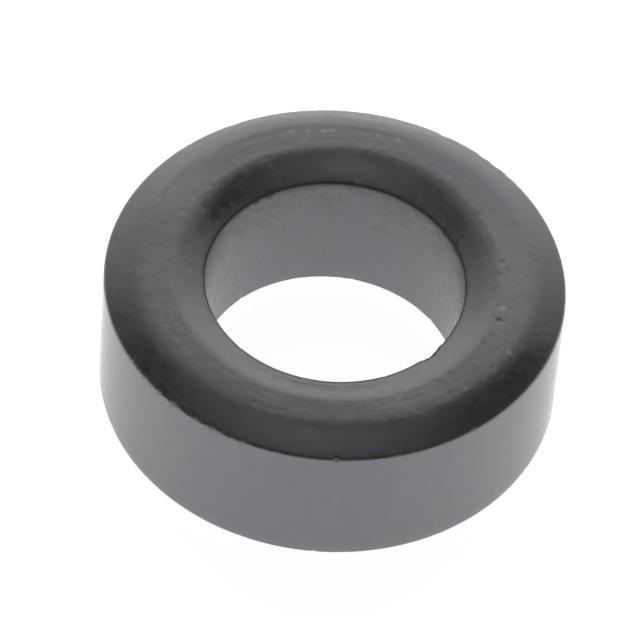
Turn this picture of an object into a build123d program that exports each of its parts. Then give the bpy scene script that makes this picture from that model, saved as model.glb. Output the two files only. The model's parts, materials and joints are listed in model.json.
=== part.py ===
from build123d import *
import os
from math import cos, radians, sin

# Ferrite ring core: one pressed and sintered piece, a toroid with crowned end faces.
# Millimetres. +Z runs along the ring's axis, and the origin is the middle of the bottom plane,
# so the core rests on z = 0 on the flat land of its lower face.

# Driving dimensions of the ring
outer_diameter = 12.7
bore_diameter = 7.15
height = 4.775

# Shoulders of the end faces, with widths and radii as shares of the ring's radial width
outer_shoulder_share = 0.338
bore_shoulder_share = 0.36
bend_share = 0.288  # radius where the flat land turns down into a shoulder
bend_angle = 20  # degrees turned there
outer_arris_slope = 36  # degrees from flat, where the shoulder meets the outer wall
bore_arris_slope = 30.5
outer_edge_radius = 0.15  # tumbled edge between shoulder and wall
bore_edge_radius = 0.12

# Nicks in the upper edges, each as its azimuth in degrees, its length along the edge and its depth
outer_edge_nicks = [
    (-130, 0.24, 0.06),
    (-123, 0.18, 0.04),
    (-118, 0.22, 0.05),
    (-109, 0.16, 0.04),
    (-86, 0.14, 0.05),
    (50, 0.45, 0.03),
    (65, 0.3, 0.03),
]
bore_edge_nicks = [
    (-41, 0.55, 0.07),
    (27, 0.22, 0.05),
    (36, 0.16, 0.05),
    (124, 0.18, 0.05),
    (131, 0.16, 0.04),
]

# Worked out from them
outer_radius = outer_diameter / 2
bore_radius = bore_diameter / 2
ring_width = outer_radius - bore_radius
land_outer_radius = outer_radius - ring_width * outer_shoulder_share
land_bore_radius = bore_radius + ring_width * bore_shoulder_share
bend_radius = ring_width * bend_share
bend_width = bend_radius * sin(radians(bend_angle))


def flank_radius(shoulder_width, arris_slope):
    """Radius of the arc that runs from the bend to the wall, steepening all the way."""
    steepening = sin(radians(arris_slope)) - sin(radians(bend_angle))
    return (shoulder_width - bend_width) / steepening


outer_flank_radius = flank_radius(outer_radius - land_outer_radius, outer_arris_slope)
outer_flank_turn = outer_arris_slope - bend_angle
bore_flank_radius = flank_radius(land_bore_radius - bore_radius, bore_arris_slope)
bore_flank_turn = bore_arris_slope - bend_angle

# Section of the ring, drawn about its middle height
section_plane = Plane.XZ.shift_origin((0, 0, height / 2))

with BuildSketch(section_plane) as section:
    with BuildLine():
        land = Line((land_bore_radius, height / 2), (land_outer_radius, height / 2))
        outer_bend = JernArc(land @ 1, land % 1, bend_radius, -bend_angle)
        outer_flank = JernArc(outer_bend @ 1, outer_bend % 1, outer_flank_radius, -outer_flank_turn)
        bore_bend = JernArc(land @ 0, (land % 0) * -1, bend_radius, bend_angle)
        bore_flank = JernArc(bore_bend @ 1, bore_bend % 1, bore_flank_radius, bore_flank_turn)
        outer_arris = outer_flank @ 1
        bore_arris = bore_flank @ 1
        mirror(about=Plane.XZ)
        Line(outer_arris, (outer_arris.X, -outer_arris.Y))
        Line(bore_arris, (bore_arris.X, -bore_arris.Y))
    make_face()
    fillet(section.vertices().group_by(Axis.X)[-1], outer_edge_radius)
    fillet(section.vertices().group_by(Axis.X)[0], bore_edge_radius)


def bite(arris, side, arris_slope, edge_radius, length, depth):
    """Size and place of the ball that bites a nick: its radius, its distance from the axis and its height."""
    edge_facing = radians((90 - arris_slope) / 2)
    ball_radius = (length**2 / 4 + depth**2) / (2 * depth)
    rounded_off = edge_radius * (1 / cos(edge_facing) - 1)
    stand_off = ball_radius - depth - rounded_off
    from_axis = arris.X + side * stand_off * cos(edge_facing)
    above_floor = height / 2 + arris.Y + stand_off * sin(edge_facing)
    return ball_radius, from_axis, above_floor


# The pressed ring, then the nicks that handling left in its upper edges
with BuildPart() as ferrite_core:
    add(section.sketch)
    revolve(axis=Axis.Z)
    for nicks, arris, side, arris_slope, edge_radius in (
        (outer_edge_nicks, outer_arris, 1, outer_arris_slope, outer_edge_radius),
        (bore_edge_nicks, bore_arris, -1, bore_arris_slope, bore_edge_radius),
    ):
        for azimuth, length, depth in nicks:
            ball_radius, from_axis, above_floor = bite(arris, side, arris_slope, edge_radius, length, depth)
            with Locations(Vector(from_axis, 0, above_floor).rotate(Axis.Z, azimuth)):
                Sphere(ball_radius, mode=Mode.SUBTRACT)

ferrite_core.part.label = "ferrite_core"

os.makedirs("parts", exist_ok=True)
export_step(ferrite_core.part, "parts/ferrite_core.step")
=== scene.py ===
import json
from math import acos, cos, pi, radians, sin, tau

import bpy
import numpy as np
from mathutils import Matrix, Vector, noise


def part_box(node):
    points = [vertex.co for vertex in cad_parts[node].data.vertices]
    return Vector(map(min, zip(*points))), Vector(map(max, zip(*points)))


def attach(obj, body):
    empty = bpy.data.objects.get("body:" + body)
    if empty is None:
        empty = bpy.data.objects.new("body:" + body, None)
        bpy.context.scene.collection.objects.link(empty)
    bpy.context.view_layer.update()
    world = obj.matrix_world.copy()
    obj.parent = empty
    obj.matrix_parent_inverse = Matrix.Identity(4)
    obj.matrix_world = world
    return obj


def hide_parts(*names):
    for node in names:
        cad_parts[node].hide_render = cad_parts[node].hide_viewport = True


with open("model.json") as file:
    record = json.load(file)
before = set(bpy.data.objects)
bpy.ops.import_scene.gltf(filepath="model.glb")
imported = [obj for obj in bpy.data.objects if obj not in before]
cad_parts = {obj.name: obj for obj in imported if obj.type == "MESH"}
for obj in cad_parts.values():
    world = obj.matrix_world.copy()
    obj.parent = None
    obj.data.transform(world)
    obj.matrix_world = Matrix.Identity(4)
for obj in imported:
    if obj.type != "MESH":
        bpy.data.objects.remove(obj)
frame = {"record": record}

bl_info = {
    "name": "Ferrite Ring Core",
    "version": (1, 0, 0),
    "blender": (4, 5, 0),
    "location": "View3D > Sidebar > Ferrite Core",
    "description": "Finished surface of a sintered ferrite ring core, with its plain white studio",
    "category": "Object",
}

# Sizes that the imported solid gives, in metres
CORE_NODE = "ferrite_core"
CORE_LOW, CORE_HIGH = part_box(CORE_NODE)
MOUNTS = {mount["name"]: mount for mount in frame["record"]["mounts"]}
MM = 0.001
OUTER_RADIUS = (CORE_HIGH.x - CORE_LOW.x) / 2
BORE_RADIUS = MOUNTS["bore"]["dims"]["r_mm"] * MM
RING_HEIGHT = CORE_HIGH.z - CORE_LOW.z
RING_WIDTH = OUTER_RADIUS - BORE_RADIUS
MIDDLE_RADIUS = (OUTER_RADIUS + BORE_RADIUS) / 2
MIDDLE_HEIGHT = (CORE_HIGH.z + CORE_LOW.z) / 2

# The two sides of the ring, and the radius of the wall on each
OUTER, BORE = 1, -1
WALL_RADII = {OUTER: OUTER_RADIUS, BORE: BORE_RADIUS}

FERRITE_PIECE = "sintered_ferrite_ring"


class RingShapeSettings(bpy.types.PropertyGroup):
    """Sizes of the ring's section that the box doesn't give."""

    outer_shoulder_share: bpy.props.FloatProperty(
        name="Outer shoulder share", description="Width of the outer shoulder, of the ring's radial width",
        default=0.338, min=0.05, max=0.48, subtype="FACTOR",
    )
    bore_shoulder_share: bpy.props.FloatProperty(
        name="Bore shoulder share", description="Width of the bore's shoulder, of the ring's radial width",
        default=0.36, min=0.05, max=0.48, subtype="FACTOR",
    )
    bend_share: bpy.props.FloatProperty(
        name="Bend share", description="Radius of the bend beside the land, as a share of the same width",
        default=0.288, min=0.01, max=0.9, subtype="FACTOR",
    )
    bend_angle: bpy.props.FloatProperty(
        name="Bend angle", description="Turned from the flat land into a shoulder",
        default=radians(20), min=radians(1), max=radians(60), unit="ROTATION", subtype="ANGLE",
    )
    outer_arris_slope: bpy.props.FloatProperty(
        name="Outer arris slope", description="Slope of the shoulder where it meets the outer wall",
        default=radians(36), min=radians(2), max=radians(85), unit="ROTATION", subtype="ANGLE",
    )
    bore_arris_slope: bpy.props.FloatProperty(
        name="Bore arris slope", description="Slope of the shoulder where it meets the bore",
        default=radians(30.5), min=radians(2), max=radians(85), unit="ROTATION", subtype="ANGLE",
    )
    outer_edge_radius: bpy.props.FloatProperty(
        name="Outer edge radius", description="Tumbled edge round the outer wall",
        default=0.15 * MM, min=0.0, unit="LENGTH", subtype="DISTANCE", precision=5,
    )
    bore_edge_radius: bpy.props.FloatProperty(
        name="Bore edge radius", description="Tumbled edge round the bore",
        default=0.12 * MM, min=0.0, unit="LENGTH", subtype="DISTANCE", precision=5,
    )
    around: bpy.props.IntProperty(
        name="Steps around", description="Mesh steps around the ring", default=900, min=32,
    )


class WearSettings(bpy.types.PropertyGroup):
    """How uneven and how worn the pressed surface is."""

    warp: bpy.props.FloatProperty(
        name="Firing warp", description="Depth of the slow unevenness that firing leaves",
        default=0.012 * MM, min=0.0, unit="LENGTH", subtype="DISTANCE", precision=6,
    )
    outer_crowning: bpy.props.FloatProperty(
        name="Outer crowning", description="Slope that wear gives the outer end of the flat land",
        default=radians(4), min=0.0, max=radians(15), unit="ROTATION", subtype="ANGLE",
    )
    leaning: bpy.props.FloatProperty(
        name="Outer leaning", description="How much more of it the near side has, and less the far side",
        default=radians(2), min=0.0, max=radians(15), unit="ROTATION", subtype="ANGLE",
    )
    inner_crowning: bpy.props.FloatProperty(
        name="Inner crowning", description="Slope that wear gives the land's inner end at the far side",
        default=radians(6), min=0.0, max=radians(15), unit="ROTATION", subtype="ANGLE",
    )
    easing: bpy.props.FloatProperty(
        name="Shoulder easing", description="Depth by which wear rounds the outer shoulder beside the land",
        default=0.010 * MM, min=0.0, unit="LENGTH", subtype="DISTANCE", precision=6,
    )
    ripple: bpy.props.FloatProperty(
        name="Surface ripple", description="Depth of the short ripples of the pressed face",
        default=0.0085 * MM, min=0.0, unit="LENGTH", subtype="DISTANCE", precision=6,
    )
    crumble: bpy.props.FloatProperty(
        name="Edge crumble", description="Depth of the fine wear all along the four edges",
        default=0.008 * MM, min=0.0, unit="LENGTH", subtype="DISTANCE", precision=6,
    )
    small_nicks: bpy.props.IntProperty(
        name="Small nicks", description="Tiny nicks scattered along each edge", default=14, min=0,
    )
    smudges: bpy.props.IntProperty(
        name="Smudges", description="Faint dents scattered over an end face, most beside its land",
        default=150, min=0,
    )
    seed: bpy.props.IntProperty(name="Seed", description="Picks where the scattered marks fall", default=7)


class FerriteSettings(bpy.types.PropertyGroup):
    """Colours and gloss of the sintered ferrite."""

    body_colour: bpy.props.FloatVectorProperty(
        name="Body colour", description="Dark grey of the fired skin",
        default=(0.019, 0.026, 0.036), min=0.0, max=1.0, size=3, subtype="COLOR",
    )
    # The pale colour also paints the sheen of the broad pale patches on the upper face
    pale_colour: bpy.props.FloatVectorProperty(
        name="Pale colour", description="Paler grey of rubbed skin",
        default=(0.138, 0.134, 0.126), min=0.0, max=1.0, size=3, subtype="COLOR",
    )
    dust_colour: bpy.props.FloatVectorProperty(
        name="Dust colour", description="Pale grey of small scuffs with dust in them",
        default=(0.46, 0.46, 0.45), min=0.0, max=1.0, size=3, subtype="COLOR",
    )
    warm_colour: bpy.props.FloatVectorProperty(
        name="Warm colour", description="Browner grey of broad clouds in the skin",
        default=(0.044, 0.030, 0.018), min=0.0, max=1.0, size=3, subtype="COLOR",
    )
    rust_colour: bpy.props.FloatVectorProperty(
        name="Rust colour", description="Rusty brown of a small stain",
        default=(0.210, 0.100, 0.060), min=0.0, max=1.0, size=3, subtype="COLOR",
    )
    face_roughness: bpy.props.FloatProperty(
        name="Face roughness", description="Roughness of the end faces, as the punches leave them",
        default=0.20, min=0.0, max=1.0, subtype="FACTOR",
    )
    wall_roughness: bpy.props.FloatProperty(
        name="Wall roughness",
        description="Roughness of the outer wall, polished as it slides out of the die",
        default=0.115, min=0.0, max=1.0, subtype="FACTOR",
    )
    bore_roughness: bpy.props.FloatProperty(
        name="Bore roughness",
        description="Roughness at the top of the bore, where the core rod leaves it duller",
        default=0.44, min=0.0, max=1.0, subtype="FACTOR",
    )
    gloss_tint: bpy.props.FloatVectorProperty(
        name="Gloss tint", description="Cool tint of the mineral's own gloss",
        default=(0.94, 0.942, 1.0), min=0.0, max=1.0, size=3, subtype="COLOR",
    )
    refraction: bpy.props.FloatProperty(
        name="Index of refraction", description="High, as in iron oxides", default=2.4, min=1.0,
    )


class StudioSettings(bpy.types.PropertyGroup):
    """The camera's place, and the white floor and surroundings."""

    elevation: bpy.props.FloatProperty(
        name="Camera elevation", description="How far above the floor the camera looks from",
        default=radians(49.535), unit="ROTATION", subtype="ANGLE",
    )
    distance: bpy.props.FloatProperty(
        name="Camera distance", description="From the middle of the ring to the camera",
        default=175.3 * MM, unit="LENGTH", subtype="DISTANCE",
    )
    roll: bpy.props.FloatProperty(
        name="Camera roll", description="How far the camera is turned about its own axis",
        default=radians(4.944), unit="ROTATION", subtype="ANGLE",
    )
    aim_right: bpy.props.FloatProperty(
        name="Aim to the right", description="How far the camera aims beside the ring's middle",
        default=radians(-0.1005), unit="ROTATION", subtype="ANGLE",
    )
    aim_up: bpy.props.FloatProperty(
        name="Aim upwards", description="How far the camera aims above the ring's middle",
        default=radians(0.0722), unit="ROTATION", subtype="ANGLE",
    )
    focal_length: bpy.props.FloatProperty(
        name="Focal length", description="In millimetres, for a frame 36 mm wide", default=356.6,
        min=1.0,
    )
    floor_size: bpy.props.FloatProperty(
        name="Floor size", description="Side of the square floor", default=3.0, min=0.1,
        unit="LENGTH", subtype="DISTANCE",
    )
    floor_glow: bpy.props.FloatProperty(
        name="Floor glow", description="Light of the white floor beside what falls on it from the tent",
        default=0.74, min=0.0,
    )
    floor_glow_seen: bpy.props.FloatProperty(
        name="Floor glow seen",
        description="The same for the camera, gloss and glass, so that the floor is white",
        default=0.885, min=0.0,
    )
    floor_colour: bpy.props.FloatVectorProperty(
        name="Floor colour", description="Plain white", default=(0.86, 0.86, 0.86),
        min=0.0, max=1.0, size=3, subtype="COLOR",
    )
    tent_radius: bpy.props.FloatProperty(
        name="Tent radius", description="Radius of the light tent round the ring", default=0.1,
        min=0.02, unit="LENGTH", subtype="DISTANCE",
    )
    tent_light: bpy.props.FloatProperty(
        name="Tent light", description="Light of the tent's cloth away from its windows", default=0.09,
        min=0.0,
    )
    window_light: bpy.props.FloatProperty(
        name="Window light", description="Light of the large soft window behind the ring", default=0.72,
        min=0.0,
    )
    panel_light: bpy.props.FloatProperty(
        name="Panel light", description="Light of the sharper panel to the right of it", default=0.235,
        min=0.0,
    )
    overhead_light: bpy.props.FloatProperty(
        name="Overhead light", description="Light of the small soft window overhead", default=0.285,
        min=0.0,
    )
    opening_light: bpy.props.FloatProperty(
        name="Opening light", description="Share of the cloth's light in the opening for the camera",
        default=0.3, min=0.0, max=1.0, subtype="FACTOR",
    )


# Mesh steps along a quarter of the section: wall, edge, flank, bend and land
TOP_STEPS = (7, 6, 14, 6, 8)
BOTTOM_STEPS = (3, 3, 4, 2, 2)

# Nicks in the upper edges, as azimuth in degrees, then length along the edge, depth and reach
# across it in millimetres
OUTER_NICKS = (
    (-134.8, 0.20, 0.018, 0.09), (-130.0, 0.28, 0.036, 0.14), (-123.0, 0.22, 0.026, 0.11),
    (-117.8, 0.26, 0.034, 0.13), (-109.5, 0.20, 0.026, 0.10), (-86.0, 0.16, 0.042, 0.12),
    (49.0, 0.50, 0.024, 0.13), (52.8, 0.42, 0.022, 0.12), (64.8, 0.46, 0.028, 0.14),
    (120.5, 0.42, 0.015, 0.10),
)
BORE_NICKS = (
    (-43.5, 0.34, 0.040, 0.15), (-40.5, 0.42, 0.060, 0.19), (-37.0, 0.30, 0.036, 0.13),
    (-31.0, 0.26, 0.018, 0.10), (27.0, 0.34, 0.026, 0.14), (36.5, 0.28, 0.024, 0.12),
    (124.0, 0.28, 0.026, 0.12), (131.2, 0.26, 0.024, 0.11),
)

# Stretch of the upper outer edge that is knocked more than the rest, in degrees
KNOCKED_AZIMUTH, KNOCKED_HALF, KNOCKED_MORE = -124, 17, 4.4

# Marks on the upper face: tone, azimuth in degrees, radius as a share of the outer one,
# then length along, width across and depth in millimetres. The pale patches 1.8 mm long or more are
# painted sheen, and the two dark patches without depth at -92 and -120 degrees are painted shade; the small
# marks, the dents, the warm clouds, the dust and the rust stain are the skin's own.
FACE_MARKS = (
    # Painted sheen: the pale patches on this row and the next three
    ("pale", 6.0, 0.770, 7.60, 1.80, 0.0), ("pale", 150.0, 0.810, 2.60, 1.10, 0.0),
    ("pale", 30.0, 0.690, 3.00, 0.60, 0.0), ("pale", 152.0, 0.685, 2.20, 0.60, 0.0),
    ("pale", 105.0, 0.745, 8.00, 0.30, 0.0), ("pale", 145.0, 0.732, 3.00, 0.30, 0.0),
    ("pale", -60.0, 0.755, 2.80, 0.90, 0.0), ("pale", 88.0, 0.640, 1.80, 0.70, 0.0),
    # Painted shade: the two broad dark patches on this row
    ("dark", -92.0, 0.760, 2.80, 1.00, 0.0), ("dark", -120.0, 0.820, 3.20, 1.00, 0.0),
    ("dark", 146.0, 0.862, 2.40, 0.26, 0.0025), ("dark", 112.0, 0.850, 5.00, 0.26, 0.0025),
    ("dark", 84.0, 0.842, 3.40, 0.24, 0.002), ("warm", -92.0, 0.650, 9.00, 1.90, 0.0),
    ("warm", -160.0, 0.740, 5.00, 1.80, 0.0), ("pale", 84.1, 0.579, 0.30, 0.20, 0.0),
    ("dust", 107.5, 0.834, 0.26, 0.13, 0.0), ("dust", 102.1, 0.822, 0.18, 0.12, 0.0),
    ("dust", 97.4, 0.819, 0.32, 0.13, 0.0), ("dust", 94.6, 0.821, 0.16, 0.12, 0.0),
    ("dust", 80.6, 0.821, 0.18, 0.14, 0.0), ("dust", 74.4, 0.827, 0.15, 0.15, 0.0),
    ("dust", -25.8, 0.850, 0.20, 0.17, 0.0), ("dust", -32.6, 0.846, 0.12, 0.08, 0.0),
    ("dust", -45.1, 0.837, 0.13, 0.07, 0.0), ("dust", -9.5, 0.740, 0.20, 0.30, 0.0),
    ("dark", -15.4, 0.740, 0.22, 0.16, 0.024), ("dark", -9.5, 0.718, 0.20, 0.13, 0.006),
    ("dark", 10.8, 0.724, 0.24, 0.22, 0.008), ("dark", 32.1, 0.786, 0.24, 0.16, 0.004),
    ("dark", 55.6, 0.828, 0.24, 0.14, 0.003), ("dark", -44.9, 0.726, 0.26, 0.18, 0.004),
    ("dark", 87.0, 0.574, 0.20, 0.10, 0.004), ("rust", -111.2, 0.700, 0.34, 0.26, 0.0),
)
# Pits and scuffs in the walls: side, azimuth in degrees, height above mid height as a share of
# the outer radius, radius in millimetres
WALL_PITS = (
    (BORE, 129.7, 0.245, 0.13), (BORE, 136.5, 0.231, 0.10), (BORE, 123.2, 0.035, 0.12),
    (BORE, 115.3, 0.048, 0.09), (BORE, 96.4, 0.215, 0.10), (BORE, 96.7, -0.128, 0.09),
    (BORE, 86.6, 0.171, 0.08), (BORE, 74.9, 0.066, 0.15), (BORE, 67.1, 0.064, 0.11),
    (BORE, 80.4, -0.102, 0.09), (BORE, 99.9, -0.202, 0.08), (OUTER, -85.9, 0.280, 0.10),
    (OUTER, -130.2, -0.207, 0.12), (OUTER, -120.0, 0.054, 0.10), (OUTER, -42.3, -0.060, 0.10),
    (OUTER, -97.8, -0.269, 0.08),
)
PIT_FLOOR_SHARE = 0.25
TONES = ("pale", "dark", "dust", "rust", "warm")

# Wear of the upper land's ends: where its slope has faded out, in half widths of the land, and the
# share of the inner crowning that the near side has
CROWN_REACH = 1.45
NEAR_SIDE_CROWNING = 0.15

# Lumps of unevenness in millimetres, and streaks: how wide they are and how many times as long
LUMP_SIZES = (2.6, 6.0, 0.5, 0.22, 0.11)
STREAK_WIDTH, STREAK_STRETCH = 0.13, 12

# How far from an arris its crumbling, its slanted displacement, its rubbed sheen and the bore's dull
# rim reach, and where the unevenness of a face is full, in millimetres
CRUMBLE_WIDTH, SLANT_WIDTH, RUBBED_WIDTH, RIM_WIDTH = 0.12, 0.2, 0.1, 0.32
FULL_FACE_FROM = 0.3

# Ranges of the scattered small nicks and smudges in millimetres, with reach and width as shares of
# the length
NICK_LENGTHS, NICK_DEPTHS, NICK_REACHES = (0.10, 0.26), (0.006, 0.018), (0.35, 0.6)
SMUDGE_LENGTHS, SMUDGE_DEPTHS, SMUDGE_WIDTHS = (0.14, 0.40), (0.001, 0.005), (0.4, 0.8)
SMUDGE_SCATTER, SMUDGE_STRENGTH, PALE_SMUDGE_SHARE = 0.24, 0.6, 0.4

# Layers that the mesh carries for its material
SKIN_LAYERS = ("broken_skin", "edge_nearness", "die_wall", "bore_dullness", "bore_rim", "shade_toward_bore",
               *(tone + "_tone" for tone in TONES))
# How strongly each mask tints the skin and with what, in the order laid on, and how much rougher it gets
MASK_TINTS = (
    # The first tint paints shade in the low skin toward the bore; the pale and dark tones carry painted sheen
    # and painted shade as well as the skin's own marks
    ("painted_hollow_shade", 0.9, "darker"), ("rubbed", 0.6, "paler"), ("broken_skin", 0.4, "paler"),
    ("pale_tone", 0.8, "paler"), ("dark_tone", 0.7, "darker"), ("dust_tone", 0.9, "dusty"),
    ("rust_tone", 0.8, "rusty"), ("pits", 0.35, "darker"), ("pores", 0.6, "darker"),
)
MASK_ROUGHNESS = (
    ("patch_contrast", 0.14), ("bore_rim", 0.18), ("broken_skin", 0.14), ("dark_tone", 0.12),
    ("edge_nearness", 0.22), ("dust_tone", 0.2), ("pits", 0.08), ("pores", 0.2),
)
# Share of the body colour in the darker tint, which also paints the shade in the low skin toward the bore and
# in the broad dark face patches
DARKER_SHARE = 0.35

# Windows in the tent's cloth in degrees: azimuth, elevation, and how far from there they are full and dark
TENT_WINDOWS = {
    "window": (98, 11, 20.5, 71), "panel": (72, 14, 39.5, 48), "overhead": (-123, 85, 1, 42),
    "opening": (-90, 20, 20, 45),
}
TENT_STEPS_AROUND, TENT_STEPS_UP = 64, 16
SURROUNDINGS_LIGHT, SURROUNDINGS_SEEN = 0.3, 1.0
SENSOR_WIDTH = 36


def arc_points(centre, radius, turns):
    """Points of an arc about a centre (radius, height), with the turn of the normal at each."""
    return np.stack([centre[0] + radius * np.cos(turns), centre[1] + radius * np.sin(turns), turns], axis=1)


def steps_to(start, end, count):
    """Even steps that stop one short of the end, where the next stretch begins."""
    return np.linspace(start, end, count, endpoint=False)


def side_sizes(shape, side):
    """Width share, arris slope and edge radius of the shoulder on one side."""
    if side == OUTER:
        return shape.outer_shoulder_share, shape.outer_arris_slope, shape.outer_edge_radius
    return shape.bore_shoulder_share, shape.bore_arris_slope, shape.bore_edge_radius


def land_end(shape, side):
    """Radius at which the flat land turns into the shoulder of one side."""
    return WALL_RADII[side] - side * RING_WIDTH * side_sizes(shape, side)[0]


def land_middle(shape):
    """Radius of the middle of the flat land."""
    uneven = shape.bore_shoulder_share - shape.outer_shoulder_share
    return MIDDLE_RADIUS + RING_WIDTH * uneven / 2


def near_arris(arris, width):
    """Share of an effect that fades beside an arris: distance in metres, width in millimetres."""
    return np.exp(-(arris / (width * MM)) ** 2)


def quarter_section(shape, side, steps):
    """From mid wall to mid land, laid out as for the outer side: radius, height, turn of the normal."""
    wall_steps, edge_steps, flank_steps, bend_steps, land_steps = steps
    share, arris_slope, edge_radius = side_sizes(shape, side)
    land_end_r = OUTER_RADIUS - RING_WIDTH * share
    bend_radius = RING_WIDTH * shape.bend_share
    bend_centre = np.array([land_end_r, RING_HEIGHT / 2 - bend_radius])
    flank_width = RING_WIDTH * share - bend_radius * sin(shape.bend_angle)
    flank_radius = flank_width / (sin(arris_slope) - sin(shape.bend_angle))
    bend_way = np.array([sin(shape.bend_angle), cos(shape.bend_angle)])
    flank_centre = bend_centre + (bend_radius - flank_radius) * bend_way
    edge_centre_r = OUTER_RADIUS - edge_radius
    edge_turn = acos((edge_centre_r - flank_centre[0]) / (flank_radius - edge_radius))
    edge_centre = np.array([edge_centre_r, flank_centre[1] + (flank_radius - edge_radius) * sin(edge_turn)])
    bend_turn = pi / 2 - shape.bend_angle

    rise = np.sin(steps_to(0, pi / 2, wall_steps))
    wall = np.stack([np.full(wall_steps, OUTER_RADIUS), edge_centre[1] * rise, np.zeros(wall_steps)], axis=1)
    edge = arc_points(edge_centre, edge_radius, steps_to(0, edge_turn, edge_steps))
    flank = arc_points(flank_centre, flank_radius, steps_to(edge_turn, bend_turn, flank_steps))
    bend = arc_points(bend_centre, bend_radius, steps_to(bend_turn, pi / 2, bend_steps))
    middle = MIDDLE_RADIUS + side * (land_middle(shape) - MIDDLE_RADIUS)
    land_r = np.linspace(land_end_r, middle, land_steps + 1)
    land = np.stack([land_r, np.full_like(land_r, RING_HEIGHT / 2), np.full_like(land_r, pi / 2)], axis=1)
    points = np.concatenate([wall, edge, flank, bend, land])

    run = np.concatenate([[0], np.cumsum(np.hypot(*np.diff(points[:, :2], axis=0).T))])
    at_edge = slice(wall_steps, wall_steps + edge_steps + 1)
    arris = np.interp(edge_turn / 2, points[at_edge, 2], run[at_edge])
    return np.column_stack([points, run - arris])


def ring_section(shape):
    """Closed section from mid outer wall, over the top to the bore and back beneath.

    Columns: radius, height, normal outward, normal upward, distance from the arris, side, up."""
    quarters = []
    for up, side, backwards in ((1, OUTER, False), (1, BORE, True), (-1, BORE, False), (-1, OUTER, True)):
        radius, height, turn, arris = quarter_section(shape, side, TOP_STEPS if up > 0 else BOTTOM_STEPS).T
        if side == BORE:
            radius = 2 * MIDDLE_RADIUS - radius
        quarter = np.column_stack([
            radius, up * height, side * np.cos(turn), up * np.sin(turn), arris,
            np.full_like(radius, side), np.full_like(radius, up),
        ])
        quarters.append(quarter[:0:-1] if backwards else quarter[:-1])
    return np.concatenate(quarters)


def face_crown(shape, wear, section, azimuth):
    """How far the land's worn ends lie below flat: slopes out to the bend, then eases off to the arris."""
    radius, up, middle, far = section[:, 0], section[:, 6], land_middle(shape), np.sin(azimuth)
    inner_share = NEAR_SIDE_CROWNING + (1 - NEAR_SIDE_CROWNING) * np.clip(far, 0, 1) ** 2
    slopes = {OUTER: wear.outer_crowning - wear.leaning * far, BORE: wear.inner_crowning * inner_share}
    easings = {OUTER: np.full_like(far, wear.easing), BORE: wear.easing * (1 - far)}
    sink = np.zeros((len(azimuth), len(section)))
    for side, wall_radius in WALL_RADII.items():
        half_ring = abs(wall_radius - middle)
        half_land = half_ring - RING_WIDTH * side_sizes(shape, side)[0]
        reach = np.linspace(0, half_ring / half_land, 200)
        slope = np.where(reach < 1, reach ** 2, (CROWN_REACH - reach) / (CROWN_REACH - 1))
        slope = np.where(reach > CROWN_REACH, 0, slope)
        fall = np.cumsum(slope) * (reach[1] - reach[0])
        fall *= np.interp(reach, (CROWN_REACH, reach[-1]), (1, 0))
        away = side * (radius - middle) / half_land
        profile = np.where(away > 0, np.interp(away, reach, fall), 0) * half_land
        sink += np.tan(slopes[side])[:, None] * profile
    for side, wall_radius in WALL_RADII.items():
        shoulder_start = land_end(shape, side)
        over = np.clip((radius - shoulder_start) / (wall_radius - shoulder_start), 0, 1)
        sink += easings[side][:, None] * np.sin(pi * over)
    return sink * (up > 0)


def noise_field(points, size, seed):
    """Smooth noise of about -1 to 1 over an array of points, with lumps of the given size."""
    shift = Vector((seed * 3.7, seed * 5.3, seed * 7.9))
    flat = points.reshape(-1, 3) / size
    values = [noise.noise(Vector(point) + shift) for point in flat.tolist()]
    return np.array(values).reshape(points.shape[:-1])


def edge_marks(wear):
    """Every nick: azimuth, length, depth, reach, side and up, in radians and metres."""
    marks = []
    for nicks, side in ((OUTER_NICKS, OUTER), (BORE_NICKS, BORE)):
        for azimuth, length, depth, reach in nicks:
            marks.append((radians(azimuth), length * MM, depth * MM, reach * MM, side, 1))
    dice = np.random.default_rng(wear.seed)
    for side, up in ((OUTER, 1), (BORE, 1), (OUTER, -1), (BORE, -1)):
        for _ in range(wear.small_nicks):
            length = dice.uniform(*NICK_LENGTHS) * MM
            depth = dice.uniform(*NICK_DEPTHS) * MM
            azimuth = dice.uniform(-pi, pi)
            marks.append((azimuth, length, depth, length * dice.uniform(*NICK_REACHES), side, up))
    return marks


def skin_marks(shape, wear, section, azimuth):
    """Depth of the marks in both end faces, and the strength of each tone, over the whole mesh."""
    radius, arris, up = section[:, 0], section[:, 4], section[:, 6]
    dice = np.random.default_rng(wear.seed + 1)
    marks = [(*mark, 1, 1.0) for mark in FACE_MARKS]
    land_ends = (land_end(shape, OUTER), land_end(shape, BORE))
    for way in (1, -1):
        for step in range(wear.smudges):
            place = dice.normal(land_ends[step % 2], SMUDGE_SCATTER * MM) / OUTER_RADIUS
            length = dice.uniform(*SMUDGE_LENGTHS)
            tone = "pale" if dice.random() < PALE_SMUDGE_SHARE else "dark"
            marks.append((tone, dice.uniform(-180, 180), place, length, length * dice.uniform(*SMUDGE_WIDTHS),
                          dice.uniform(*SMUDGE_DEPTHS), way, SMUDGE_STRENGTH))
    depth = np.zeros((len(azimuth), len(section)))
    tones = {tone: np.zeros_like(depth) for tone in TONES}
    for tone, place_azimuth, place, length, width, deep, way, strength in marks:
        across = (radius - place * OUTER_RADIUS) / (width * MM / 2)
        columns = np.where((up == way) & (arris > 0) & (np.abs(across) < 1))[0]
        turn = (azimuth - radians(place_azimuth) + pi) % tau - pi
        rows = np.where(np.abs(turn) < length * MM / BORE_RADIUS)[0]
        along = turn[rows, None] * radius[None, columns] / (length * MM / 2)
        spot = np.clip(1 - along ** 2 - across[None, columns] ** 2, 0, 1)
        patch = np.ix_(rows, columns)
        tones[tone][patch] = np.maximum(tones[tone][patch], spot * strength)
        depth[patch] = np.maximum(depth[patch], deep * MM * spot ** 1.5)
    return depth, tones


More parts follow.
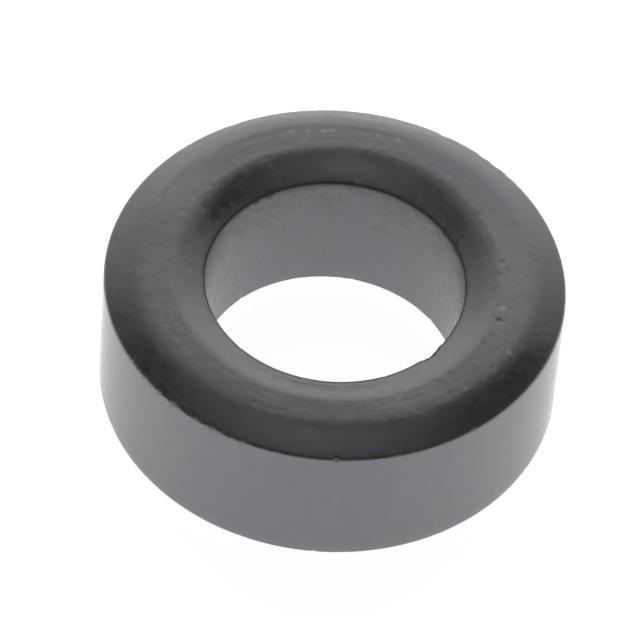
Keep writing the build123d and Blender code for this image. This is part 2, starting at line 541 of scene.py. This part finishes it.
def core_depths(shape, wear, section, points, azimuth):
    """How deep the worn surface lies below the true form, how broken its skin is, and its tones."""
    arris, side, up = section[:, 4], section[:, 5], section[:, 6]
    lumps = [noise_field(points, size * MM, number) for number, size in enumerate(LUMP_SIZES, start=1)]
    slow = lumps[0] * 0.6 + lumps[1] * 0.4
    short = lumps[2] * 0.65 + lumps[3] * 0.35
    fine = lumps[4]
    drawn_out = np.empty_like(points)
    drawn_out[..., 0] = section[None, :, 0]
    drawn_out[..., 1] = azimuth[:, None] * MIDDLE_RADIUS / STREAK_STRETCH
    drawn_out[..., 2] = points[..., 2]
    streaks = noise_field(drawn_out, STREAK_WIDTH * MM, 6)
    by_edge = near_arris(arris, CRUMBLE_WIDTH)[None, :]
    on_face = (np.clip(arris / (FULL_FACE_FROM * MM), 0, 1) * 0.95 + 0.05)[None, :]
    depth = wear.warp * on_face * (0.5 + slow * 0.5) + face_crown(shape, wear, section, azimuth)
    depth += wear.ripple * on_face * (0.5 + short * 0.40 + streaks * 0.30)
    knocked = 1 + KNOCKED_MORE * np.exp(-((azimuth - radians(KNOCKED_AZIMUTH)) / radians(KNOCKED_HALF)) ** 2)
    knocked = 1 + (knocked[:, None] - 1) * ((side > 0) & (up > 0))[None, :]
    depth += wear.crumble * by_edge * knocked * np.clip(0.2 + fine * 0.4 + short * 0.5, 0, 1)
    spot_depth, tones = skin_marks(shape, wear, section, azimuth)
    depth += spot_depth
    broken = np.zeros_like(depth)
    for place, length, deep, reach, mark_side, mark_up in edge_marks(wear):
        along = ((azimuth - place + pi) % tau - pi) * WALL_RADII[mark_side] / (length / 2)
        rows = np.where(np.abs(along) < 1.3)[0]
        columns = np.where((side == mark_side) & (up == mark_up) & (np.abs(arris) < 1.3 * reach))[0]
        patch = np.ix_(rows, columns)
        ragged = 1 + 0.35 * fine[patch] + 0.25 * short[patch]
        spread = (along[rows, None] ** 2 + (arris[None, columns] / reach) ** 2) * ragged
        bite = np.clip(1 - spread, 0, 1)
        depth[patch] = np.maximum(depth[patch], depth[patch] * 0.5 + deep * bite)
        broken[patch] = np.maximum(broken[patch], np.clip(bite * 2, 0, 1) * min(1, deep / (0.04 * MM)))
    return depth, broken, tones


def ring_faces(around, columns):
    """Four-sided faces between neighbouring points, all round the ring and all round its section."""
    first = np.arange(around)[:, None] * columns + np.arange(columns)[None, :]
    next_round = np.roll(first, -1, axis=0)
    next_up = np.roll(first, -1, axis=1)
    next_both = np.roll(next_round, -1, axis=1)
    return np.stack([first, next_round, next_both, next_up], axis=-1).reshape(-1, 4)


def skin_layers(shape, section, azimuth, broken, tones):
    """Values that the material reads, by layer and over the whole mesh."""
    arris, side = section[:, 4], section[:, 5]
    rising = 0.5 + section[:, 1] / RING_HEIGHT
    down_inner_shoulder = (land_end(shape, BORE) - section[:, 0]) / (0.5 * MM)
    rim = np.where((side == BORE) & (arris > 0), near_arris(arris, RIM_WIDTH), 0)
    layers = {
        "broken_skin": broken,
        "edge_nearness": near_arris(arris, RUBBED_WIDTH),
        "die_wall": np.clip(0.5 - arris / (RUBBED_WIDTH * MM), 0, 1),
        "bore_dullness": np.where(side == BORE, 0.3 + 0.7 * rising, 0.0),
        "bore_rim": rim * (0.5 + 0.5 * np.sin(azimuth))[:, None],
        # Mask of the painted shade: a third over the end faces, full down the bore's shoulder
        "shade_toward_bore": np.clip(0.3 + down_inner_shoulder, 0, 1) * (arris > 0),
    }
    layers.update({tone + "_tone": values for tone, values in tones.items()})
    return {name: layers[name] * np.ones_like(broken) for name in SKIN_LAYERS}


def build_core_mesh(shape, wear):
    """Closed mesh of the worn ring, with the layers that its material reads."""
    section = ring_section(shape)
    azimuth = steps_to(-pi, pi, shape.around)
    spin = np.stack([np.cos(azimuth), np.sin(azimuth)], axis=1)
    points = np.empty((shape.around, len(section), 3))
    normals = np.empty_like(points)
    for target, outward, upward in ((points, 0, 1), (normals, 2, 3)):
        target[..., :2] = spin[:, None, :] * section[None, :, outward, None]
        target[..., 2] = section[:, upward]
    points[..., 2] += MIDDLE_HEIGHT
    depth, broken, tones = core_depths(shape, wear, section, points, azimuth)
    # Near an edge every point moves along the edge's own bisector, so no two moves cross
    arris, side, up = section[:, 4], section[:, 5], section[:, 6]
    slant = near_arris(arris, SLANT_WIDTH)[None, :, None]
    edge_rise = (pi / 2 - np.where(side == OUTER, shape.outer_arris_slope, shape.bore_arris_slope)) / 2
    bisector = np.empty_like(points)
    bisector[..., :2] = spin[:, None, :] * (side * np.cos(edge_rise))[None, :, None]
    bisector[..., 2] = up * np.sin(edge_rise)
    way = normals * (1 - slant) + bisector * slant
    way /= np.linalg.norm(way, axis=-1, keepdims=True)
    points -= way * depth[..., None]

    mesh = bpy.data.meshes.new(FERRITE_PIECE)
    mesh.from_pydata(points.reshape(-1, 3).tolist(), [], ring_faces(shape.around, len(section)).tolist())
    for name, values in skin_layers(shape, section, azimuth, broken, tones).items():
        layer = mesh.attributes.new(name, "FLOAT", "POINT")
        layer.data.foreach_set("value", values.ravel().astype(np.float32))
    mesh.shade_smooth()
    return mesh


def new_group(name, inputs, outputs):
    """A shader node group with its sockets, given as name, kind and default."""
    group = bpy.data.node_groups.new(name, "ShaderNodeTree")
    for sockets, way in ((inputs, "INPUT"), (outputs, "OUTPUT")):
        for socket_name, kind, *default in sockets:
            socket = group.interface.new_socket(socket_name, in_out=way, socket_type="NodeSocket" + kind)
            if default:
                socket.default_value = default[0]
    return group, group.nodes.new("NodeGroupInput"), group.nodes.new("NodeGroupOutput")


def add_node(tree, kind, values=None, **settings):
    """A node with its settings, and with socket values or links given by socket name or number."""
    node = tree.nodes.new("ShaderNode" + kind)
    for name, value in settings.items():
        setattr(node, name, value)
    for socket, value in (values or {}).items():
        if isinstance(value, bpy.types.NodeSocket):
            tree.links.new(value, node.inputs[socket])
        else:
            node.inputs[socket].default_value = value
    return node


def maths(tree, operation, *values, clamp=False):
    """Result of a Math node over sockets or numbers."""
    return add_node(tree, "Math", dict(enumerate(values)), operation=operation, use_clamp=clamp).outputs[0]


def mix_colour(tree, share, first, second):
    """Blend of two colours, by sockets or values."""
    node = add_node(tree, "Mix", {"Factor": share, 6: first, 7: second}, data_type="RGBA")
    return node.outputs[2]


def mix_value(tree, share, first, second):
    """Blend of two values, by sockets or numbers."""
    return add_node(tree, "Mix", {"Factor": share, 2: first, 3: second}, data_type="FLOAT").outputs[0]


def soft_step(tree, value, low, high):
    """Goes softly from 0 to 1 as a value goes from low to high."""
    return add_node(tree, "MapRange", {"Value": value, "From Min": low, "From Max": high},
                    interpolation_type="SMOOTHSTEP").outputs["Result"]


def noise_by_size(tree, given, size_name, detail, roughness):
    """Noise over a group's position, with lumps of the size that one of its inputs gives."""
    return add_node(tree, "TexNoise", {
        "Vector": given.outputs["Position"], "Scale": maths(tree, "DIVIDE", 1.0, given.outputs[size_name]),
        "Detail": detail, "Roughness": roughness,
    }).outputs["Fac"]


def placed_group(tree, group, **values):
    """A shader group placed in a tree, with socket values or links by socket name."""
    node = tree.nodes.new("ShaderNodeGroup")
    node.node_tree = group
    for name, value in values.items():
        socket = node.inputs[name.replace("_", " ")]
        if isinstance(value, bpy.types.NodeSocket):
            tree.links.new(value, socket)
        else:
            socket.default_value = value
    return node


def pressed_grain_group():
    """Cloudy patches and a height for skin that was pressed from powder."""
    group, given, out = new_group("Pressed grain", [
        ("Position", "Vector"), ("Patch size", "Float", 0.3 * MM), ("Grain size", "Float", 0.05 * MM),
        ("Patch height", "Float", 0.001 * MM), ("Grain height", "Float", 0.0002 * MM),
    ], [("Patches", "Float"), ("Grain", "Float"), ("Height", "Float")])
    patches = noise_by_size(group, given, "Patch size", 2.5, 0.55)
    grain = noise_by_size(group, given, "Grain size", 2.0, 0.6)
    height = maths(group, "ADD", maths(group, "MULTIPLY", patches, given.outputs["Patch height"]),
                   maths(group, "MULTIPLY", grain, given.outputs["Grain height"]))
    spread = soft_step(group, patches, 0.3, 0.7)
    for name, value in (("Patches", spread), ("Grain", grain), ("Height", height)):
        group.links.new(value, out.inputs[name])
    return group


def pores_group():
    """Scattered small pits in the skin: a mask and how far they go down."""
    group, given, out = new_group("Open pores", [
        ("Position", "Vector"), ("Spacing", "Float", 0.6 * MM), ("Pore size", "Float", 0.05 * MM),
        ("Share", "Float", 0.3), ("Depth", "Float", 0.004 * MM),
    ], [("Pores", "Float"), ("Height", "Float")])
    cells = add_node(group, "TexVoronoi", {
        "Vector": given.outputs["Position"], "Scale": maths(group, "DIVIDE", 1.0, given.outputs["Spacing"]),
        "Randomness": 1.0,
    })
    wobble = add_node(group, "TexNoise", {
        "Vector": given.outputs["Position"], "Scale": maths(group, "DIVIDE", 1.2, given.outputs["Pore size"]),
        "Detail": 1.0,
    }).outputs["Fac"]
    away = maths(group, "MULTIPLY", cells.outputs["Distance"], given.outputs["Spacing"])
    away = maths(group, "DIVIDE", away, given.outputs["Pore size"])
    away = maths(group, "ADD", away, maths(group, "MULTIPLY", wobble, 0.6))
    pit = soft_step(group, away, 1.0, 0.45)
    chance = add_node(group, "SeparateColor", {"Color": cells.outputs["Color"]}).outputs["Red"]
    kept = maths(group, "LESS_THAN", chance, given.outputs["Share"])
    pit = maths(group, "MULTIPLY", pit, kept)
    group.links.new(pit, out.inputs["Pores"])
    down = maths(group, "MULTIPLY", maths(group, "MULTIPLY", pit, given.outputs["Depth"]), -1.0)
    group.links.new(down, out.inputs["Height"])
    return group


def wall_pits(tree, position):
    """Mask of the round pits in the walls."""
    pits = 0.0
    for side, azimuth, height, radius in WALL_PITS:
        centre = ring_point(azimuth, WALL_RADII[side], MIDDLE_HEIGHT + height * OUTER_RADIUS)
        away = add_node(tree, "VectorMath", {0: position, 1: centre}, operation="DISTANCE").outputs["Value"]
        pit = soft_step(tree, away, radius * MM, PIT_FLOOR_SHARE * radius * MM)
        pits = maths(tree, "MAXIMUM", pit, pits)
    return pits


def ring_point(azimuth, radius, height):
    """Point at an azimuth in degrees, by its distance from the axis and its height."""
    return (radius * cos(radians(azimuth)), radius * sin(radians(azimuth)), height)


def skin_masks(tree, position):
    """Masks of the skin by name, and the height of its grain, pores and pits."""
    skin = {name: add_node(tree, "Attribute", attribute_name=name).outputs["Fac"] for name in SKIN_LAYERS}
    skin["pits"] = wall_pits(tree, position)
    skin["face"] = face = maths(tree, "SUBTRACT", 1.0, skin["die_wall"])
    grain_tree = pressed_grain_group()
    grain = placed_group(tree, grain_tree, Position=position, Patch_size=0.24 * MM, Grain_size=0.045 * MM,
                         Patch_height=maths(tree, "MULTIPLY_ADD", face, 0.0026 * MM, 0.0003 * MM),
                         Grain_height=0.0003 * MM)
    clouds = placed_group(tree, grain_tree, Position=position, Patch_size=0.62 * MM, Grain_size=0.12 * MM,
                          Patch_height=maths(tree, "MULTIPLY_ADD", face, 0.005 * MM, 0.001 * MM),
                          Grain_height=maths(tree, "MULTIPLY", face, 0.0008 * MM))
    hues = placed_group(tree, grain_tree, Position=position, Patch_size=2.4 * MM, Grain_size=0.8 * MM,
                        Patch_height=0.0, Grain_height=0.0)
    pores = placed_group(tree, pores_group(), Position=position, Spacing=0.75 * MM, Pore_size=0.055 * MM,
                         Share=maths(tree, "MULTIPLY_ADD", skin["bore_dullness"], 0.2, 0.14),
                         Depth=0.005 * MM)
    patches = maths(tree, "MULTIPLY_ADD", clouds.outputs["Patches"], 0.45,
                    maths(tree, "MULTIPLY", grain.outputs["Patches"], 0.55))
    skin.update({
        "patches": patches, "patch_contrast": maths(tree, "SUBTRACT", patches, 0.5),
        "hues": hues.outputs["Patches"], "pores": pores.outputs["Pores"],
        # Painted shade: darker where the skin's patches lie low, most down the bore's shoulder
        "painted_hollow_shade": maths(tree, "MULTIPLY", skin["shade_toward_bore"], maths(tree, "MULTIPLY_ADD", patches, -0.6, 1.0)),
        "rubbed": maths(tree, "MULTIPLY", skin["edge_nearness"],
                        maths(tree, "MULTIPLY", grain.outputs["Grain"], 0.8)),
    })
    height = maths(tree, "ADD", maths(tree, "ADD", grain.outputs["Height"], clouds.outputs["Height"]),
                   maths(tree, "MULTIPLY_ADD", skin["pits"], -0.004 * MM, pores.outputs["Height"]))
    return skin, height


def skin_colour(tree, finish, skin):
    """Dark grey with warm clouds and pale patches, and the tint of each mask laid over it, painted sheen and
    painted shade among them.
    """
    colours = {
        "paler": (*finish.pale_colour, 1), "dusty": (*finish.dust_colour, 1),
        "rusty": (*finish.rust_colour, 1),
        "darker": (*(DARKER_SHARE * value for value in finish.body_colour), 1),
    }
    warmth = maths(tree, "MULTIPLY", skin["hues"], maths(tree, "MULTIPLY_ADD", skin["face"], 0.14, 0.14))
    warmth = maths(tree, "MULTIPLY_ADD", skin["warm_tone"], 0.7, warmth, clamp=True)
    colour = mix_colour(tree, warmth, (*finish.body_colour, 1), (*finish.warm_colour, 1))
    # Pale patches grow stronger where the painted shade toward the bore is
    pale_share = maths(tree, "MULTIPLY_ADD", skin["shade_toward_bore"], 0.20, 0.34)
    pale_share = maths(tree, "MULTIPLY", skin["patches"], pale_share)
    colour = mix_colour(tree, pale_share, colour, colours["paler"])
    for name, strength, tint in MASK_TINTS:
        colour = mix_colour(tree, maths(tree, "MULTIPLY", skin[name], strength), colour, colours[tint])
    return colour


def skin_roughness(tree, finish, skin):
    """Polished outer wall, duller faces and bore, and what each mask adds."""
    wall = mix_value(tree, skin["bore_dullness"], finish.wall_roughness, finish.bore_roughness)
    roughness = mix_value(tree, skin["die_wall"], finish.face_roughness, wall)
    for name, more in MASK_ROUGHNESS:
        roughness = maths(tree, "MULTIPLY_ADD", skin[name], more, roughness, clamp=True)
    return roughness


def ferrite_material(finish):
    """Dark glossy mineral with a skin that was pressed from powder."""
    material = bpy.data.materials.new("Sintered ferrite")
    material.use_nodes = True
    tree = material.node_tree
    shader = tree.nodes["Principled BSDF"]
    shader.inputs["IOR"].default_value = finish.refraction
    shader.inputs["Specular Tint"].default_value = (*finish.gloss_tint, 1)
    skin, height = skin_masks(tree, add_node(tree, "TexCoord").outputs["Object"])
    bump = add_node(tree, "Bump", {"Strength": 1.0, "Distance": 1.0, "Height": height})
    tree.links.new(skin_colour(tree, finish, skin), shader.inputs["Base Color"])
    tree.links.new(skin_roughness(tree, finish, skin), shader.inputs["Roughness"])
    tree.links.new(bump.outputs["Normal"], shader.inputs["Normal"])
    return material


class OBJECT_OT_ferrite_core(bpy.types.Operator):
    """Build the ferrite ring's finished surface over its solid"""

    bl_idname = "object.ferrite_core"
    bl_label = "Build Ferrite Ring"
    bl_options = {"REGISTER", "UNDO"}

    def execute(self, context):
        mesh = build_core_mesh(context.scene.ring_shape, context.scene.ring_wear)
        mesh.materials.append(ferrite_material(context.scene.ferrite_finish))
        ring = bpy.data.objects.new(FERRITE_PIECE, mesh)
        context.scene.collection.objects.link(ring)
        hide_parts(CORE_NODE)
        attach(ring, "root")
        return {"FINISHED"}


def place_camera(context, studio):
    """Camera that looks down at the ring from the near side, rolled and aimed a little off its middle."""
    camera_data = bpy.data.cameras.new("Studio camera")
    camera_data.lens = studio.focal_length
    camera_data.sensor_width = SENSOR_WIDTH
    camera_data.clip_start = 0.01
    camera_data.clip_end = 20
    camera = bpy.data.objects.new("Studio camera", camera_data)
    context.scene.collection.objects.link(camera)
    away = Vector((0, -cos(studio.elevation), sin(studio.elevation)))
    forward = -away
    right = Vector((1, 0, 0))
    up = right.cross(forward)
    rolled_right = cos(studio.roll) * right + sin(studio.roll) * up
    rolled_up = -sin(studio.roll) * right + cos(studio.roll) * up
    aimed = cos(studio.aim_right) * forward + sin(studio.aim_right) * rolled_right
    axis_x = -sin(studio.aim_right) * forward + cos(studio.aim_right) * rolled_right
    axis_y = -sin(studio.aim_up) * aimed + cos(studio.aim_up) * rolled_up
    aimed = cos(studio.aim_up) * aimed + sin(studio.aim_up) * rolled_up
    turn = Matrix((axis_x, axis_y, -aimed)).transposed().to_4x4()
    place = Vector((0, 0, MIDDLE_HEIGHT)) + away * studio.distance
    camera.matrix_world = Matrix.Translation(place) @ turn
    context.scene.camera = camera


def floor_mesh(side):
    """Square floor at the height on which the ring rests."""
    half = side / 2
    corners = [(-half, -half, 0), (half, -half, 0), (half, half, 0), (-half, half, 0)]
    mesh = bpy.data.meshes.new("Studio floor")
    mesh.from_pydata(corners, [], [(0, 1, 2, 3)])
    return mesh


def tent_mesh(radius):
    """Half a ball of cloth over the ring, down to the floor."""
    around, up = TENT_STEPS_AROUND, TENT_STEPS_UP
    points = []
    for rise in steps_to(0, pi / 2, up):
        level = radius * cos(rise)
        for turn in steps_to(0, tau, around):
            points.append((level * cos(turn), level * sin(turn), radius * sin(rise)))
    points.append((0, 0, radius))
    faces = []
    for row in range(up):
        for step in range(around):
            here, beside = row * around + step, row * around + (step + 1) % around
            if row < up - 1:
                faces.append((here, beside, beside + around, here + around))
            else:
                faces.append((here, beside, len(points) - 1))
    mesh = bpy.data.meshes.new("Light tent")
    mesh.from_pydata(points, [], faces)
    mesh.shade_smooth()
    return mesh


def soft_window_group():
    """Light of a round window with soft edges in the tent's cloth."""
    group, given, out = new_group("Soft window", [
        ("Direction", "Vector"), ("Facing", "Vector", (0.0, 1.0, 0.0)), ("Full to", "Float", 0.3),
        ("Dark from", "Float", 1.0), ("Strength", "Float", 1.0),
    ], [("Light", "Float")])
    along = add_node(group, "VectorMath", {0: given.outputs["Direction"], 1: given.outputs["Facing"]},
                     operation="DOT_PRODUCT").outputs["Value"]
    angle = maths(group, "ARCCOSINE", along)
    glow = soft_step(group, angle, given.outputs["Dark from"], given.outputs["Full to"])
    group.links.new(maths(group, "MULTIPLY", glow, given.outputs["Strength"]), out.inputs["Light"])
    return group


def facing(azimuth, elevation):
    """Unit vector towards a place on the tent, from degrees."""
    return ring_point(azimuth, cos(radians(elevation)), sin(radians(elevation)))


def tent_material(studio):
    """Evenly glowing cloth with brighter windows, and a dimmer opening for the camera."""
    material = bpy.data.materials.new("Tent cloth")
    material.use_nodes = True
    tree = material.node_tree
    tree.nodes.clear()
    direction = add_node(tree, "VectorMath", {0: add_node(tree, "TexCoord").outputs["Object"]},
                         operation="NORMALIZE").outputs["Vector"]
    window = soft_window_group()
    strengths = {
        "window": studio.window_light, "panel": studio.panel_light, "overhead": studio.overhead_light,
        "opening": studio.tent_light * (studio.opening_light - 1),
    }
    light = studio.tent_light
    for name, (azimuth, elevation, full_to, dark_from) in TENT_WINDOWS.items():
        part = placed_group(tree, window, Direction=direction, Facing=facing(azimuth, elevation),
                            Full_to=radians(full_to), Dark_from=radians(dark_from), Strength=strengths[name])
        light = maths(tree, "ADD", part.outputs["Light"], light)
    glow = add_node(tree, "Emission", {"Strength": light})
    tree.links.new(glow.outputs[0], add_node(tree, "OutputMaterial").inputs["Surface"])
    return material


def seen_rays(tree):
    """1 for what the camera sees, by itself, in gloss or through glass, and 0 for what only lights."""
    path = add_node(tree, "LightPath")
    seen = maths(tree, "MAXIMUM", path.outputs["Is Camera Ray"], path.outputs["Is Transmission Ray"])
    return maths(tree, "MAXIMUM", seen, path.outputs["Is Glossy Ray"])


def floor_material(studio):
    """White floor that the tent lights a little and that glows, more so for the camera, gloss and glass."""
    material = bpy.data.materials.new("White floor")
    material.use_nodes = True
    tree = material.node_tree
    tree.nodes.clear()
    glow_strength = mix_value(tree, seen_rays(tree), studio.floor_glow, studio.floor_glow_seen)
    glow = add_node(tree, "Emission", {"Color": (1, 1, 1, 1), "Strength": glow_strength})
    lit = add_node(tree, "BsdfDiffuse", {"Color": (*studio.floor_colour, 1)})
    both = add_node(tree, "AddShader", {0: glow.outputs[0], 1: lit.outputs[0]})
    tree.links.new(both.outputs[0], add_node(tree, "OutputMaterial").inputs["Surface"])
    return material


def white_surroundings():
    """White for the camera, gloss and glass, and dim for light."""
    world = bpy.data.worlds.new("Studio surroundings")
    world.use_nodes = True
    tree = world.node_tree
    tree.nodes.clear()
    strength = mix_value(tree, seen_rays(tree), SURROUNDINGS_LIGHT, SURROUNDINGS_SEEN)
    sky = add_node(tree, "Background", {"Color": (1, 1, 1, 1), "Strength": strength})
    tree.links.new(sky.outputs[0], add_node(tree, "OutputWorld").inputs["Surface"])
    return world


class SCENE_OT_ferrite_studio(bpy.types.Operator):
    """Set up the white floor, the soft light and the camera"""

    bl_idname = "scene.ferrite_studio"
    bl_label = "Set Up Studio"
    bl_options = {"REGISTER", "UNDO"}

    def execute(self, context):
        studio = context.scene.ferrite_studio
        floor = bpy.data.objects.new("Studio floor", floor_mesh(studio.floor_size))
        floor.data.materials.append(floor_material(studio))
        tent = bpy.data.objects.new("Light tent", tent_mesh(studio.tent_radius))
        tent.data.materials.append(tent_material(studio))
        tent.visible_camera = False
        tent.visible_shadow = False
        for backdrop in (floor, tent):
            context.scene.collection.objects.link(backdrop)
        place_camera(context, studio)
        context.scene.world = white_surroundings()
        context.scene.view_settings.view_transform = "Standard"
        return {"FINISHED"}


class VIEW3D_PT_ferrite_core(bpy.types.Panel):
    """Sizes, finish and steps of the ferrite ring"""

    bl_idname = "VIEW3D_PT_ferrite_core"
    bl_label = "Ferrite Core"
    bl_space_type = "VIEW_3D"
    bl_region_type = "UI"
    bl_category = "Ferrite Core"

    def draw(self, context):
        layout = self.layout
        scene = context.scene
        for group in (scene.ring_shape, scene.ring_wear, scene.ferrite_finish, scene.ferrite_studio):
            box = layout.box()
            for name in group.__annotations__:
                box.prop(group, name)
        layout.operator(OBJECT_OT_ferrite_core.bl_idname)
        layout.operator(SCENE_OT_ferrite_studio.bl_idname)


# Settings by the name under which the scene keeps them
SETTINGS = {"ring_shape": RingShapeSettings, "ring_wear": WearSettings,
            "ferrite_finish": FerriteSettings, "ferrite_studio": StudioSettings}
CLASSES = (*SETTINGS.values(), OBJECT_OT_ferrite_core, SCENE_OT_ferrite_studio, VIEW3D_PT_ferrite_core)


def register():
    for cls in CLASSES:
        bpy.utils.register_class(cls)
    for name, settings in SETTINGS.items():
        setattr(bpy.types.Scene, name, bpy.props.PointerProperty(type=settings))


def unregister():
    for name in SETTINGS:
        delattr(bpy.types.Scene, name)
    for cls in reversed(CLASSES):
        bpy.utils.unregister_class(cls)


def main():
    """Build the ring and its studio."""
    register()
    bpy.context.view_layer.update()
    bpy.ops.object.ferrite_core()
    bpy.ops.scene.ferrite_studio()


if __name__ == "__main__":
    main()
